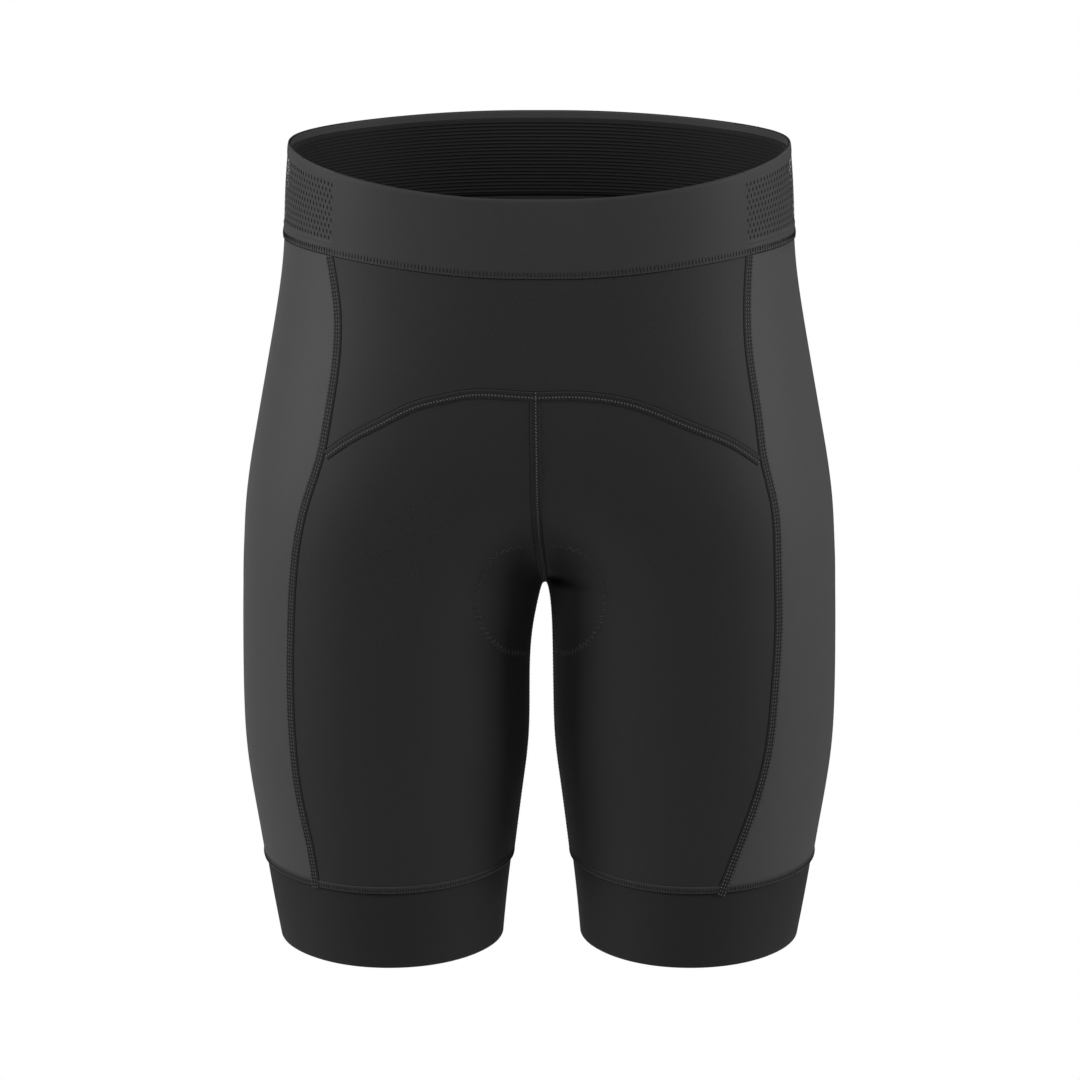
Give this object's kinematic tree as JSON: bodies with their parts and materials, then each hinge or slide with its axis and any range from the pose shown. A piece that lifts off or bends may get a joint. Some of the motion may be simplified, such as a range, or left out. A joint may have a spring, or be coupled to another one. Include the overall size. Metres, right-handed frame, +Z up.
{
  "type": "padded compression shorts",
  "caption": "Knee-length stretch shorts in worn form, with a smooth waistband, perforated sides, an arched front yoke, side panels, leg grippers and a sewn seat pad.",
  "frame": {"origin": "middle of the waistband, where the wearer holds the garment up", "axes": "+Z up, the front faces -Y, the wearer's left is +X"},
  "size_m": [0.3711, 0.2381, 0.5126],
  "materials": {
    "waistband": "smooth black knit",
    "waist_mesh": "perforated black knit",
    "elastic": "ribbed black elastic",
    "front_panels": "fine black stretch knit",
    "back_panels": "fine black stretch knit",
    "side_panels": "fine charcoal stretch knit with a soft sheen",
    "grippers": "firm smooth black elastic",
    "pad": "soft black fleece"
  },
  "bodies": {
    "root": {"waistband_front": "waistband", "waistband_back": "waistband", "waistband_mesh_left": "waist_mesh", "waistband_mesh_right": "waist_mesh", "waist_elastic": "elastic", "yoke_front": "front_panels", "front_left": "front_panels", "front_right": "front_panels", "back_left": "back_panels", "back_right": "back_panels", "side_left": "side_panels", "side_right": "side_panels", "leg_band_left": "grippers", "leg_band_right": "grippers", "seat_pad": "pad"}
  },
  "joints": []
}
